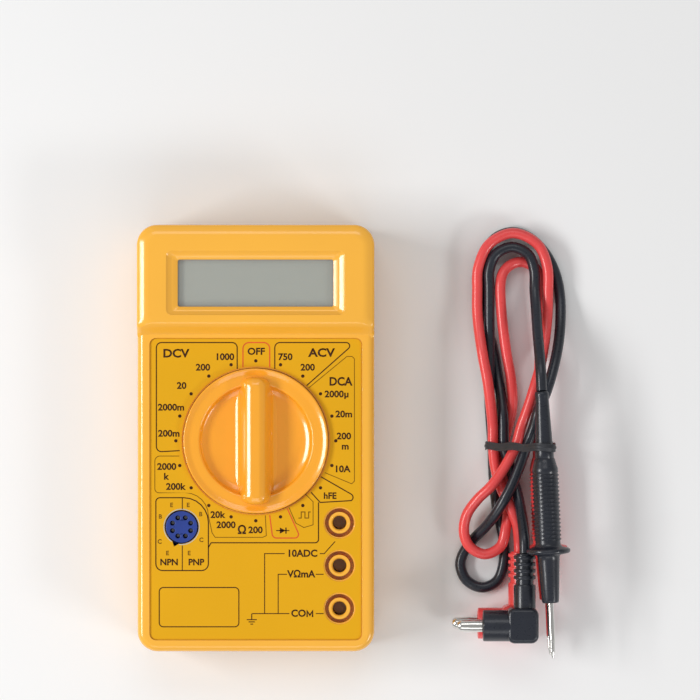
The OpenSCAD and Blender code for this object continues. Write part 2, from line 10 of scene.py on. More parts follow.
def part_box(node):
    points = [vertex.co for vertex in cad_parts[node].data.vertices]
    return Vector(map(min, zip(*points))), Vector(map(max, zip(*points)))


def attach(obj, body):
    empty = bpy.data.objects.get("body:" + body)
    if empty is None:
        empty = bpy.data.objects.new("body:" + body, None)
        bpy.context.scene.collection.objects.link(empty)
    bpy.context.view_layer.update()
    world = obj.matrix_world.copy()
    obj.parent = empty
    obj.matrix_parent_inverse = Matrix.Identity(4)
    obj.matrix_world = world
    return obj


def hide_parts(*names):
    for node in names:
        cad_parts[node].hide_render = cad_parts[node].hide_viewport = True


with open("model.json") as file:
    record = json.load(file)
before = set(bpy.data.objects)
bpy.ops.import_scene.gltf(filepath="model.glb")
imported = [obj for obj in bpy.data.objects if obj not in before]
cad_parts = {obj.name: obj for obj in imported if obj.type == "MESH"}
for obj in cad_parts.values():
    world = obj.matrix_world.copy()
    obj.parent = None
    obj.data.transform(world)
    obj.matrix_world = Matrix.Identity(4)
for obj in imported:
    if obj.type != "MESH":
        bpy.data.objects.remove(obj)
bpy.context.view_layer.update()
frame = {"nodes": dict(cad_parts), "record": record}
MM = 0.001

# ---------- Places taken from the frame ----------

FRONT_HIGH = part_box("front_case")[1]
REAR_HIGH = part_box("rear_case")[1]
LABEL_LOW, LABEL_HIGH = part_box("front_label")
LENS_LOW, LENS_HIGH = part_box("display_window")
DIAL_LOW, DIAL_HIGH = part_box("dial_knob")
SOCKET_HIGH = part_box("transistor_socket")[1]
CASE_X = FRONT_HIGH.x
CASE_Y = FRONT_HIGH.y
LABEL_TOP = LABEL_HIGH.z
DIAL_Y = (DIAL_LOW.y + DIAL_HIGH.y) / 2
WINDOW_Y = (LENS_LOW.y + LENS_HIGH.y) / 2
JACK_BOXES = [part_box(name) for name in ("jack_10a", "jack_volt_ohm", "jack_common")]
JACKS = [((low.x + high.x) / 2, (low.y + high.y) / 2) for low, high in JACK_BOXES]
RIM_Z = SOCKET_HIGH.z
FLOOR_Z = LABEL_LOW.z

# ---------- Camera ----------

SEEN_WIDTH = 206.5 * MM
SEEN_CENTRE = (27.8 * MM, 26.1 * MM)
CAMERA_DISTANCE = 1.0


def make_camera():
    """Looks straight down from a metre above the face of the meter."""
    data = bpy.data.cameras.new("camera")
    data.sensor_width = 36
    data.clip_start = 0.05
    data.clip_end = 10
    data.lens = data.sensor_width * CAMERA_DISTANCE / SEEN_WIDTH
    cam = bpy.data.objects.new("camera", data)
    cam.location = (*SEEN_CENTRE, RIM_Z + CAMERA_DISTANCE)
    bpy.context.collection.objects.link(cam)
    bpy.context.scene.camera = cam


make_camera()

# ---------- Materials ----------


def node_material(name):
    mat = bpy.data.materials.new(name)
    mat.use_nodes = True
    return mat, mat.node_tree, mat.node_tree.nodes["Principled BSDF"]


def noise(tree, scale, detail=4.0, roughness=0.5, stretch=(1, 1, 1)):
    """Noise in object space, at a scale in features per metre."""
    coords = tree.nodes.new("ShaderNodeTexCoord")
    mapping = tree.nodes.new("ShaderNodeMapping")
    mapping.inputs["Scale"].default_value = stretch
    tex = tree.nodes.new("ShaderNodeTexNoise")
    tex.inputs["Scale"].default_value = scale
    tex.inputs["Detail"].default_value = detail
    tex.inputs["Roughness"].default_value = roughness
    tree.links.new(coords.outputs["Object"], mapping.inputs["Vector"])
    tree.links.new(mapping.outputs["Vector"], tex.inputs["Vector"])
    return tex.outputs["Fac"]


def ramp(tree, source, low, high, start=0.3, end=0.7):
    node = tree.nodes.new("ShaderNodeValToRGB")
    node.color_ramp.elements[0].position = start
    node.color_ramp.elements[1].position = end
    node.color_ramp.elements[0].color = low
    node.color_ramp.elements[1].color = high
    tree.links.new(source, node.inputs["Fac"])
    return node.outputs["Color"]


def grey(value):
    return (value, value, value, 1)


def shaded(color, factor):
    return tuple(min(1, c * factor) for c in color[:3]) + (1,)


def surface(name, color, rough, grain=900, grain_depth=0.02, mottle=60, spread=0.06, metal=0.0,
            rough_spread=0.05, coat=0.0, stretch=(1, 1, 1), sheen=0.0, specular=0.5):
    """A moulded, drawn or painted surface: mottled colour, fine grain and uneven gloss."""
    mat, tree, shader = node_material(name)
    cloudy = noise(tree, mottle, 3, 0.55)
    tree.links.new(
        ramp(tree, cloudy, shaded(color, 1 - spread), shaded(color, 1 + spread)),
        shader.inputs["Base Color"],
    )
    fine = noise(tree, grain, 5, 0.6, stretch)
    tree.links.new(
        ramp(tree, fine, grey(max(0.02, rough - rough_spread)), grey(rough + rough_spread)),
        shader.inputs["Roughness"],
    )
    bump = tree.nodes.new("ShaderNodeBump")
    bump.inputs["Strength"].default_value = 0.35
    bump.inputs["Distance"].default_value = grain_depth * MM
    tree.links.new(fine, bump.inputs["Height"])
    tree.links.new(bump.outputs["Normal"], shader.inputs["Normal"])
    shader.inputs["Metallic"].default_value = metal
    shader.inputs["Specular IOR Level"].default_value = specular
    shader.inputs["Coat Weight"].default_value = coat
    shader.inputs["Coat Roughness"].default_value = 0.08
    shader.inputs["Sheen Weight"].default_value = sheen
    return mat


def clear(name, color, alpha, rough):
    """Clear plastic or glass, with faint handling smears in its gloss."""
    mat, tree, shader = node_material(name)
    smear = noise(tree, 140, 4, 0.6, (1, 3, 1))
    tree.links.new(
        ramp(tree, smear, grey(rough), grey(rough + 0.08)), shader.inputs["Roughness"]
    )
    tree.links.new(
        ramp(tree, smear, shaded(color, 0.97), shaded(color, 1.0)), shader.inputs["Base Color"]
    )
    shader.inputs["Alpha"].default_value = alpha
    shader.inputs["Coat Weight"].default_value = 0.3
    return mat


YELLOW = (0.96, 0.47, 0.045)
MATERIALS = {
    "case_yellow": surface("case_yellow", YELLOW, 0.22, 700, 0.03, 25, 0.025, coat=0.5),
    "dial_yellow": surface("dial_yellow", (0.97, 0.405, 0.022), 0.2, 800, 0.02, 40, 0.03, coat=0.6),
    "label": surface("label", (0.77, 0.39, 0.006), 0.42, 2400, 0.02, 18, 0.03, rough_spread=0.08,
                     specular=0.22),
    "clear_window": clear("clear_window", (0.95, 0.97, 0.96), 0.12, 0.04),
    "lcd": surface("lcd", (0.25, 0.265, 0.215), 0.32, 3000, 0.01, 12, 0.03, coat=0.4),
    "white_plastic": surface("white_plastic", (0.7, 0.7, 0.66), 0.45, 900, 0.02, 80, 0.03),
    "silicone": surface("silicone", (0.6, 0.58, 0.52), 0.6, 1500, 0.03, 100, 0.05),
    "board": surface("board", (0.03, 0.17, 0.06), 0.35, 1600, 0.03, 120, 0.16, coat=0.4),
    # The brass is painted nearly black. This is painted shade standing in for the darkness deep inside
    # the jack holes.
    "brass": surface("brass", (0.068, 0.009, 0.004), 0.55, 2500, 0.02, 160, 0.12, metal=1.0,
                     stretch=(1, 1, 9)),
    "socket_blue": surface("socket_blue", (0.026, 0.055, 0.28), 0.42, 1500, 0.03, 140, 0.1,
                           specular=0.3),
    # The tinned metal is painted darker than tin. This is painted shade standing in for the darkness
    # inside the transistor socket's holes.
    "tinned": surface("tinned", (0.3, 0.3, 0.3), 0.35, 2500, 0.02, 200, 0.08, metal=1.0),
    "epoxy": surface("epoxy", (0.012, 0.012, 0.013), 0.2, 500, 0.04, 100, 0.2, coat=0.5),
    "fuse_glass": clear("fuse_glass", (0.9, 0.96, 0.95), 0.3, 0.05),
    "manganin": surface("manganin", (0.55, 0.33, 0.2), 0.32, 2500, 0.02, 200, 0.12, metal=1.0),
    "trimmer_blue": surface("trimmer_blue", (0.04, 0.13, 0.42), 0.45, 1400, 0.03, 160, 0.1),
    "resistor_tan": surface("resistor_tan", (0.55, 0.38, 0.2), 0.42, 1800, 0.04, 260, 0.12),
    "capacitor_red": surface("capacitor_red", (0.4, 0.06, 0.03), 0.3, 1200, 0.05, 200, 0.12),
    "steel": surface("steel", (0.58, 0.58, 0.57), 0.32, 2600, 0.02, 200, 0.1, metal=1.0),
    "battery_shell": surface("battery_shell", (0.06, 0.07, 0.09), 0.3, 900, 0.02, 60, 0.1, metal=0.4),
    "snap_black": surface("snap_black", (0.018, 0.018, 0.019), 0.5, 1400, 0.03, 160, 0.2),
    "wire_red": surface("wire_red", (0.5, 0.02, 0.015), 0.42, 1500, 0.02, 160, 0.1),
    "wire_black": surface("wire_black", (0.015, 0.015, 0.016), 0.42, 1500, 0.02, 160, 0.2),
    "foam": surface("foam", (0.06, 0.06, 0.06), 0.9, 2600, 0.3, 700, 0.4, sheen=0.3),
    "lead_red": surface("lead_red", (0.80, 0.07, 0.07), 0.3, 1300, 0.03, 90, 0.06, coat=0.15),
    "lead_black": surface("lead_black", (0.014, 0.017, 0.026), 0.3, 1300, 0.03, 90, 0.18, coat=0.1),
    "tie_black": surface("tie_black", (0.02, 0.022, 0.028), 0.5, 1900, 0.08, 240, 0.25),
    "pin_nickel": surface("pin_nickel", (0.78, 0.77, 0.74), 0.16, 2600, 0.015, 160, 0.06, metal=1.0),
}
INK_DARK = surface("ink_dark", (0.055, 0.018, 0.006), 0.45, 2600, 0.01, 300, 0.2, specular=0.15)
INK_OLIVE = surface("ink_olive", (0.21, 0.095, 0.004), 0.45, 2600, 0.01, 300, 0.15, specular=0.15)
# Pale colour of the line at the edge of the transistor socket's hole; this line is not print.
SOCKET_EDGE_PALE = surface("socket_edge_pale", (0.55, 0.5, 0.36), 0.45, 2600, 0.01, 300, 0.08)
INK_ORANGE = surface("ink_orange", (0.72, 0.09, 0.012), 0.42, 2600, 0.01, 300, 0.12)

SLOTS = {s["node"]: s["material_slot"] for s in frame["record"]["subparts"]}


def paint_frame():
    """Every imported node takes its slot's material."""
    for name, obj in frame["nodes"].items():
        obj.data.materials.clear()
        obj.data.materials.append(MATERIALS[SLOTS[name]])


paint_frame()

# ---------- Mesh helpers, in millimetres ----------


def rounded(x0, x1, y0, y1, radii, z, steps=8):
    """Corner points of a rounded rectangle at height z, anticlockwise from the upper right.
    radii are those of the two upper corners and of the two lower ones."""
    upper, lower = radii
    pts = []
    for sx, sy, start in ((1, 1, 0), (-1, 1, 90), (-1, -1, 180), (1, -1, 270)):
        r = max(0.05, upper if sy > 0 else lower)
        cx = x1 - r if sx > 0 else x0 + r
        cy = y1 - r if sy > 0 else y0 + r
        for k in range(steps + 1):
            a = math.radians(start + 90 * k / steps)
            pts.append((cx + r * math.cos(a), cy + r * math.sin(a), z))
    return pts


def circle(cx, cy, r, z, steps):
    turn = 2 * math.pi / steps
    return [(cx + r * math.cos(k * turn), cy + r * math.sin(k * turn), z) for k in range(steps)]


def quarter(steps=6):
    """Sine and the drop of the cosine along a quarter turn, for fillets."""
    angles = [math.pi / 2 * k / steps for k in range(steps + 1)]
    return [(math.sin(a), 1 - math.cos(a)) for a in angles]


def add_rings(bm, rings, capped=True):
    """Skin through closed rings that have the same number of points."""
    made = [[bm.verts.new(Vector(p) * MM) for p in ring] for ring in rings]
    count = len(rings[0])
    for lower, upper in zip(made, made[1:]):
        for k in range(count):
            j = (k + 1) % count
            bm.faces.new((lower[k], lower[j], upper[j], upper[k]))
    if capped:
        bm.faces.new(list(reversed(made[0])))
        bm.faces.new(made[-1])
    return made


def plate_rings(x0, x1, y0, y1, r, z0, z1, top=0.0, foot=0.0, steps=8):
    """Rings of a rounded plate whose top and foot edges have fillets."""
    rings = []
    levels = [(0, z0)]
    if foot:
        levels = [(foot * d, z0 + foot * (1 - s)) for s, d in reversed(quarter())]
    if top:
        levels += [(top * d, z1 - top + top * s) for s, d in quarter()]
    else:
        levels += [(0, z1)]
    for inset, z in levels:
        rings.append(rounded(x0 + inset, x1 - inset, y0 + inset, y1 - inset,
                             (r - inset, r - inset), z, steps))
    return rings


def turned_rings(profile, cx=0, cy=0, steps=64):
    """Rings of a turned piece from (radius, height) pairs, from its foot up."""
    return [circle(cx, cy, max(r, 0.004), z, steps) for r, z in profile]


def mesh_object(name, bm):
    bmesh.ops.recalc_face_normals(bm, faces=bm.faces[:])
    mesh = bpy.data.meshes.new(name)
    bm.to_mesh(mesh)
    bm.free()
    obj = bpy.data.objects.new(name, mesh)
    bpy.context.collection.objects.link(obj)
    return obj


def skin(name, *stacks):
    """One object from stacks of rings."""
    bm = bmesh.new()
    for rings in stacks:
        add_rings(bm, rings)
    return mesh_object(name, bm)


def settle(obj):
    """Turns the modifiers into mesh."""
    graph = bpy.context.evaluated_depsgraph_get()
    mesh = bpy.data.meshes.new_from_object(obj.evaluated_get(graph))
    obj.modifiers.clear()
    obj.data = mesh
    return obj


def combine(obj, operation, *tools):
    for tool in tools:
        mod = obj.modifiers.new("combine", "BOOLEAN")
        mod.operation = operation
        mod.solver = "EXACT"
        mod.object = tool
        settle(obj)
        bpy.data.objects.remove(tool)
    return obj


def smooth(obj, angle=40):
    for poly in obj.data.polygons:
        poly.use_smooth = True
    obj.data.set_sharp_from_angle(angle=math.radians(angle))
    return obj


def soften(obj, width, segments=2, angle=35):
    """Small rounded edges, as moulded and machined edges have."""
    mod = obj.modifiers.new("soft edges", "BEVEL")
    mod.width = width * MM
    mod.segments = segments
    mod.limit_method = "ANGLE"
    mod.angle_limit = math.radians(angle)
    mod.use_clamp_overlap = True
    smooth(obj)
    return flat_faces_flat(obj)


def flat_faces_flat(obj):
    """Large faces keep their own normals, so that fillets don't shade them."""
    mod = obj.modifiers.new("normals", "WEIGHTED_NORMAL")
    mod.mode = "FACE_AREA"
    mod.weight = 90
    mod.keep_sharp = True
    return obj


def finished(obj, material, body, slot, *nodes):
    """Gives a piece its material and its body, and hides the nodes that it stands for. The slot is not
    used.
    """
    obj.data.materials.clear()
    obj.data.materials.append(material)
    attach(obj, body)
    if nodes:
        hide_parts(*nodes)
    return obj


# ---------- Case ----------

HALF_W = CASE_X / MM
HALF_L = CASE_Y / MM
PARTING = REAR_HIGH.z / MM
RIM = RIM_Z / MM
TOP = FRONT_HIGH.z / MM
FLOOR = FLOOR_Z / MM
WALL = 2
ROOF = FLOOR - WALL
CORNER = 6
BLOCK_FOOT_Y = 29.5
DIAL = (0, DIAL_Y / MM)
DIAL_R = 21.3
SOCKET = (-21.9, -26.1)
SOCKET_R = 4.65
KEY_ANGLE = 249
JACK_PLACES = [(x / MM, y / MM) for x, y in JACKS]
JACK_BORE_R = 2.05
JACK_COLLAR_R = 3.18
JACK_WELL_R = 4.28
JACK_WELL_FLOOR = 17.4
JACK_POST_R = 5.48
WINDOW = (0, WINDOW_Y / MM)
SCREW_PLACES = [(-28.8, 29), (28.8, 29)]


def front_shell():
    """Upper half of the case, with its filleted display block and all its openings."""
    base = skin("front_shell", plate_rings(-HALF_W, HALF_W, -HALF_L, HALF_L, CORNER, PARTING + 0.06,
                                           RIM, top=2.2, steps=12))
    slope = 5.2
    foot_z = 21.9
    shoulder = [(0, 1.9), (0.04, 1.7), (0.14, 1.45), (0.27, 1.25), (0.45, 1.08), (0.75, 0.9),
                (1.2, 0.68), (1.7, 0.44), (2.1, 0.27), (2.6, 0.12), (3.1, 0.03), (3.6, 0)]
    levels = [(0, foot_z + (TOP - 1.9 - foot_z) * k / 6) for k in range(6)]
    levels += [(inset, TOP - drop) for inset, drop in shoulder]
    rings = [rounded(-HALF_W, HALF_W, BLOCK_FOOT_Y, HALF_L, (CORNER, 1.2), 19.0, 12)]
    for inset, z in levels:
        ease = math.acos(max(-1, 1 - 2 * (z - foot_z) / (TOP - foot_z))) / math.pi
        rings.append(rounded(-HALF_W + inset, HALF_W - inset, BLOCK_FOOT_Y + slope * ease,
                             HALF_L - inset, (CORNER - inset * 0.75, 1.2 + inset * 0.4), z, 12))
    combine(base, "UNION", skin("block", rings))
    inner = HALF_W - WALL, HALF_L - WALL
    cuts = [
        skin("cavity", plate_rings(-inner[0], inner[0], -inner[1], inner[1], CORNER - WALL,
                                   PARTING - 1, ROOF)),
        skin("upper_cavity", plate_rings(-29, 29, 33.5, 58.5, 2, ROOF - 1, TOP - WALL)),
        skin("recess", plate_rings(-31.35, 31.35, -59.55, 29.65, 2, FLOOR, RIM + 8)),
        skin("dial_hole", turned_rings([(DIAL_R + 0.3, ROOF - 1), (DIAL_R + 0.3, RIM + 8)], *DIAL)),
        window_cut(),
        skin("socket_hole", socket_rings(ROOF - 1, RIM)),
    ]
    combine(base, "DIFFERENCE", *cuts)
    for x, y in JACK_PLACES:
        post = [(JACK_POST_R, 13.4), (JACK_POST_R, ROOF + 0.2)]
        combine(base, "UNION", skin("post", turned_rings(post, x, y)))
        combine(base, "DIFFERENCE", jack_well(x, y))
    for x, y in JACK_PLACES:
        hole = [(JACK_BORE_R, ROOF - 6), (JACK_BORE_R, FLOOR - 0.45), (2.5, FLOOR + 0.1)]
        combine(base, "DIFFERENCE", skin("jack_mouth", turned_rings(hole, x, y, 48)))
    soften(base, 0.28)
    return finished(base, MATERIALS["case_yellow"], "case", "case_yellow", "front_case")


def socket_rings(z0, z1):
    """Hole of the transistor socket with its pointed notch."""
    r = SOCKET_R + 0.3
    tip = 6.1
    flank = math.degrees(math.acos(r / tip))
    around = bow(*SOCKET, r, KEY_ANGLE + flank, KEY_ANGLE + 360 - flank, 48)
    key = math.radians(KEY_ANGLE)
    around.append((SOCKET[0] + tip * math.cos(key), SOCKET[1] + tip * math.sin(key)))
    return [[(x, y, z) for x, y in around] for z in (z0, z1)]


def bow(cx, cy, r, start, end, steps=6):
    """Points along an arc, angles in degrees."""
    angles = [math.radians(start + (end - start) * k / steps) for k in range(steps + 1)]
    return [(cx + r * math.cos(a), cy + r * math.sin(a)) for a in angles]


def window_cut():
    """Opening of the display, with its sloped bezel."""
    x, y = WINDOW
    rings = []
    for half_w, half_l, z, r in ((22.9, 6.9, ROOF - 2, 0.6), (22.9, 6.9, TOP - WALL, 0.6),
                                 (22.95, 6.95, TOP - 1.62, 0.6), (24.2, 7.8, TOP - 1.05, 0.9),
                                 (24.6, 8.15, TOP - 1.0, 1.0), (24.75, 8.3, TOP - 0.92, 1.1),
                                 (25.95, 9.1, TOP - 0.37, 1.4), (26.2, 9.3, TOP - 0.12, 1.5),
                                 (26.4, 9.45, TOP, 1.6), (26.6, 9.6, TOP + 1, 1.7)):
        rings.append(rounded(x - half_w, x + half_w, y - half_l, y + half_l, (r, r), z, 6))
    return skin("window_cut", rings)


def jack_well(x, y):
    """Ring-shaped well round a jack's raised collar."""
    bm = bmesh.new()
    made = []
    sides = 64
    flared_r = 4.5
    outline = [(JACK_WELL_R, JACK_WELL_FLOOR), (JACK_WELL_R, FLOOR - 0.1), (flared_r, FLOOR + 0.2),
               (flared_r, RIM + 2), (JACK_COLLAR_R, RIM + 2), (JACK_COLLAR_R, JACK_WELL_FLOOR)]
    for r, z in outline:
        made.append([bm.verts.new(Vector(p) * MM) for p in circle(x, y, r, z, sides)])
    for low, high in zip(made, made[1:] + made[:1]):
        for k in range(sides):
            j = (k + 1) % sides
            bm.faces.new((low[k], low[j], high[j], high[k]))
    return mesh_object("jack_well", bm)


def rear_shell():
    """Lower half of the case, with the wells of its two screws."""
    base = skin("rear_shell", plate_rings(-HALF_W, HALF_W, -HALF_L, HALF_L, CORNER, 0,
                                          PARTING - 0.06, foot=2.2, steps=12))
    inner = HALF_W - WALL, HALF_L - WALL
    combine(base, "DIFFERENCE", skin("cavity", plate_rings(
        -inner[0], inner[0], -inner[1], inner[1], CORNER - WALL, WALL, PARTING + 1)))
    for x, y in SCREW_PLACES:
        post = turned_rings([(4.4, WALL - 0.05), (4.4, PARTING - 0.1)], x, y)
        combine(base, "UNION", skin("post", post))
        well = turned_rings([(3.3, -1), (3.3, 0.1), (3.1, 0.4), (3.1, 7), (1.6, 7), (1.6, 13)], x, y)
        combine(base, "DIFFERENCE", skin("well", well))
    soften(base, 0.3)
    return finished(base, MATERIALS["case_yellow"], "case", "case_yellow", "rear_case")


front_shell()
rear_shell()

# ---------- Dial ----------

TOP_OF_BAR = DIAL_HIGH.z / MM
BAR_WIDTH = 6.1
BAR_LENGTH = 37
BAR_CORNER = 2.5


def dial():
    """Round rim, cone and bowl, with the grip bar flaring into them."""
    rim = [(22.8, 14.4), (22.8, 19.3), (21.42, 19.31), (21.42, 22.7), (21.38, 23.0)]
    rim += [(20.98 + 0.38 * math.cos(a), 23.14 + 0.42 * math.sin(a))
            for a in (math.radians(10 * k) for k in range(1, 11))]
    bowl = [(20.7, 23.46), (20.4, 23.33), (20.1, 23.2), (19.8, 23.07), (19.5, 22.97),
            (19.2, 22.92), (18.8, 22.9), (18.0, 22.88), (17.2, 22.86), (16.95, 22.82),
            (16.75, 22.72), (16.6, 22.58), (16.48, 22.35), (16.38, 21.9), (16.28, 21.45),
            (16.14, 21.15), (15.95, 20.95), (15.7, 20.8), (15.4, 20.66), (15.1, 20.52),
            (14.8, 20.39), (14.5, 20.28), (14.1, 20.18), (13.4, 20.08), (12, 19.98), (9, 19.92),
            (0.01, 19.9)]
    stacks = [turned_rings(rim + bowl, *DIAL, steps=160)]
    rings = []
    flare = [(3.5, 19.6), (3.1, 19.95), (2.8, 20.05), (2.5, 20.17), (2.2, 20.32), (1.95, 20.52),
             (1.75, 20.9), (1.5, 21.8), (1.15, 23.2), (0.75, 24.5), (0.3, 25.6), (0.05, 26.1)]
    for out, z in flare:
        rings.append(bar_ring(BAR_WIDTH / 2 + out, BAR_LENGTH / 2 + min(out, 0.5) * 0.4, BAR_CORNER, z))
    edge = [(0, 1.3), (0.06, 1.12), (0.17, 0.93), (0.32, 0.77), (0.55, 0.62), (0.85, 0.47),
            (1.2, 0.3), (1.5, 0.17), (1.8, 0.06), (2.1, 0)]
    for inset, drop in edge:
        rings.append(bar_ring(BAR_WIDTH / 2 - inset, BAR_LENGTH / 2 - inset,
                              BAR_CORNER - 0.75 * inset, TOP_OF_BAR - drop))
    stacks.append(rings)
    piece = flat_faces_flat(smooth(skin("dial", *stacks), 32))
    return finished(piece, MATERIALS["dial_yellow"], "dial", "dial_yellow", "dial_knob")


def bar_ring(half_w, half_l, r, z):
    return rounded(-half_w, half_w, DIAL[1] - half_l, DIAL[1] + half_l, (r, r), z, 8)


dial()

# ---------- Printed lines and marks on the label ----------

INK_Z = LABEL_TOP / MM + 0.015
SWITCH_PLACES = 20
SWITCH_DOTS_R = 23.6


class Print:
    """Thin raised ink: lines, dots and characters gathered into one piece."""

    def __init__(self, name):
        self.name = name
        self.bm = bmesh.new()

    def line(self, points, width=0.32, closed=False):
        """A line of even width along points, mitred at its corners."""
        pts = [Vector(p) for p in points]
        count = len(pts)
        left, right = [], []
        for i, p in enumerate(pts):
            before = pts[i - 1] if closed or i > 0 else None
            after = pts[(i + 1) % count] if closed or i < count - 1 else None
            d0 = (p - before).normalized() if before is not None else (after - p).normalized()
            d1 = (after - p).normalized() if after is not None else d0
            mid = (d0 + d1).normalized()
            side = Vector((-mid.y, mid.x))
            reach = width / 2 / max(0.4, side.dot(Vector((-d0.y, d0.x))))
            left.append(self.bm.verts.new(Vector((*(p + side * reach), INK_Z)) * MM))
            right.append(self.bm.verts.new(Vector((*(p - side * reach), INK_Z)) * MM))
        for i in range(count if closed else count - 1):
            j = (i + 1) % count
            self.bm.faces.new((right[i], right[j], left[j], left[i]))

    def dot(self, x, y, r):
        self.bm.faces.new([self.bm.verts.new(Vector(p) * MM) for p in circle(x, y, r, INK_Z, 20)])

    def shape(self, points):
        self.bm.faces.new([self.bm.verts.new(Vector((*p, INK_Z)) * MM) for p in points])

    def words(self, text, x, y, height, spread=1.0):
        """Characters of one height, centred on a place."""
        data = bpy.data.curves.new("characters", "FONT")
        data.body = text
        data.size = 1
        data.align_x = "CENTER"
        data.align_y = "CENTER"
        data.offset = 0.03
        data.resolution_u = 3
        obj = bpy.data.objects.new("characters", data)
        bpy.context.collection.objects.link(obj)
        mesh = settle_text(obj)
        size = height / 0.73
        scale = Matrix.Diagonal((size * spread * MM, size * MM, 1, 1))
        place = Matrix.Translation((x * MM, y * MM, INK_Z * MM))
        mesh.transform(place @ scale)
        self.bm.from_mesh(mesh)
        bpy.data.objects.remove(obj)
        bpy.data.meshes.remove(mesh)

    def finish(self, material):
        """A thin film: the ink's outline with a little thickness."""
        mesh = bpy.data.meshes.new(self.name)
        bmesh.ops.recalc_face_normals(self.bm, faces=self.bm.faces[:])
        for face in self.bm.faces:
            if face.normal.z < 0:
                face.normal_flip()
        self.bm.to_mesh(mesh)
        self.bm.free()
        obj = bpy.data.objects.new(self.name, mesh)
        bpy.context.collection.objects.link(obj)
        mod = obj.modifiers.new("film", "SOLIDIFY")
        mod.thickness = 0.02 * MM
        mod.offset = 0
        return finished(obj, material, "case", "label")


def settle_text(obj):
    bpy.context.view_layer.update()
    graph = bpy.context.evaluated_depsgraph_get()
    return bpy.data.meshes.new_from_object(obj.evaluated_get(graph))


RANGES = [
    ("1000", -9.2, 24.0), ("200", -15.6, 20.9), ("20", -21.9, 15.5), ("2000m", -25.0, 9.1),
    ("200m", -25.65, 1.4), ("2000", -26.3, -8.4), ("k", -26.5, -11.3), ("200k", -23.7, -14.3),
    ("20k", -11.3, -22.6), ("2000", -8.8, -25.6), ("200", -0.1, -27.1), ("10A", 25.5, -9.1),
    ("200", 26.0, 0.6), ("m", 26.4, -2.4), ("20m", 26.0, 7.1), ("2000µ", 23.9, 13.0),
    ("200", 15.3, 20.9), ("750", 8.7, 24.0),
]
PIN_LETTERS = [
    ("E", -24.9, -19.7), ("E", -20.0, -19.7), ("B", -28.2, -23.1), ("B", -16.3, -22.4),
    ("C", -28.4, -30.5), ("C", -16.1, -30.0), ("E", -26.1, -33.9), ("E", -19.7, -33.9),
]
FUNCTIONS = [("DCV", -23.6, 25.0, 1.09), ("ACV", 19.4, 25.2, 1.12), ("DCA", 25.0, 16.7, 0.93)]


def dark_print():
    ink = Print("print_dark")
    for k in range(SWITCH_PLACES):
        a = 2 * math.pi * k / SWITCH_PLACES + math.pi / 2
        ink.dot(DIAL[0] + SWITCH_DOTS_R * math.cos(a), DIAL[1] + SWITCH_DOTS_R * math.sin(a), 0.5)
    for text, x, y in RANGES:
        ink.words(text, x, y, 1.98, 1.04)
    for text, x, y, spread in FUNCTIONS:
        ink.words(text, x, y, 2.5, spread)
    ink.words("OFF", 0.1, 25.6, 2.05, 1.04)
    ink.words("hFE", 21.9, -17.0, 1.9)
    ink.words("Ω", -4.1, -27.1, 2.5)
    ink.words("10ADC", 13.7, -34.0, 2.1)
    ink.words("VΩmA", 13.4, -40.1, 2.1)
    ink.words("CO", 12.6, -51.7, 2.1)
    ink.line([(15.15, -52.72), (15.15, -50.98), (15.95, -52.2), (16.75, -50.98), (16.75, -52.72)],
             0.42)
    ink.words("NPN", -25.6, -36.6, 1.9)
    ink.words("PNP", -17.6, -36.6, 1.9)
    # frames round the ranges
    ink.line([(-5.5, 20.5)] + bow(-7, 26.8, 1.5, 0, 90) + bow(-27.85, 26.8, 1.5, 90, 180)
             + bow(-27.85, -2.4, 1.5, 180, 270) + [(-22.5, -3.6)])
    ink.line([(5.6, 20.5)] + bow(7.1, 26.8, 1.5, 180, 90) + bow(26.7, 27.3, 1, 90, -45)
             + [(15.0, 15.6)])
    ink.line([(19.2, -11.3)] + bow(27.6, -17.4, 1.1, 60, -60) + [(19.0, -18.9), (16.3, -15.9)])
    # the transistor socket's frame, the long rule under the dial and the rules at the jacks
    ink.line(bow(-28.3, -18.7, 1.2, 180, 90) + bow(-21.3, -24.8, 7.3, 90, 0)
             + bow(-16, -37, 2, 0, -90) + bow(-27.5, -37, 2, 270, 180), closed=True)
    ink.line([(-21.7, -38.9), (-21.7, -31.6)], 0.26)
    ink.line([(-21.7, -20.9), (-21.7, -17.6)], 0.26)
    ink.line([(-14, -32.2), (-13.2, -30.8)] + bow(17.5, -29.8, 1, -90, 0) + [(18.5, -18.9)])
    ink.line([(2.6, -51.6), (2.6, -34), (8.5, -34)], 0.26)
    ink.line([(6.6, -51.6), (6.6, -40.1), (9.2, -40.1)], 0.26)
    ink.line([(18.9, -34), (20.2, -34), (23.4, -30.4)], 0.26)
    ink.line([(17.7, -40.1), (20, -40.1)], 0.26)
    ink.line([(-1.1, -51.7), (9.9, -51.7)], 0.26)
    ink.line([(17.7, -51.7), (20, -51.7)], 0.26)
    # earth symbol
    ink.line([(-1.2, -51.7), (-1.2, -53.4)], 0.3)
    for k, half in enumerate((1.5, 0.95, 0.4)):
        ink.line([(-1.2 - half, -53.5 - 0.65 * k), (-1.2 + half, -53.5 - 0.65 * k)], 0.28)
    # diode symbol
    ink.line([(6.0, -27.2), (9.9, -27.2)], 0.28)
    ink.line([(8.9, -26.3), (8.9, -28.1)], 0.36)
    ink.shape([(7.1, -28.1), (8.8, -27.2), (7.1, -26.3)])
    # blank name field
    ink.line(bow(-27.3, -45.2, 1.2, 180, 90) + bow(-6.2, -45.2, 1.2, 90, 0)
             + bow(-6.2, -54.4, 1.2, 0, -90) + bow(-27.3, -54.4, 1.2, 270, 180), 0.3, closed=True)
    return ink.finish(INK_DARK)


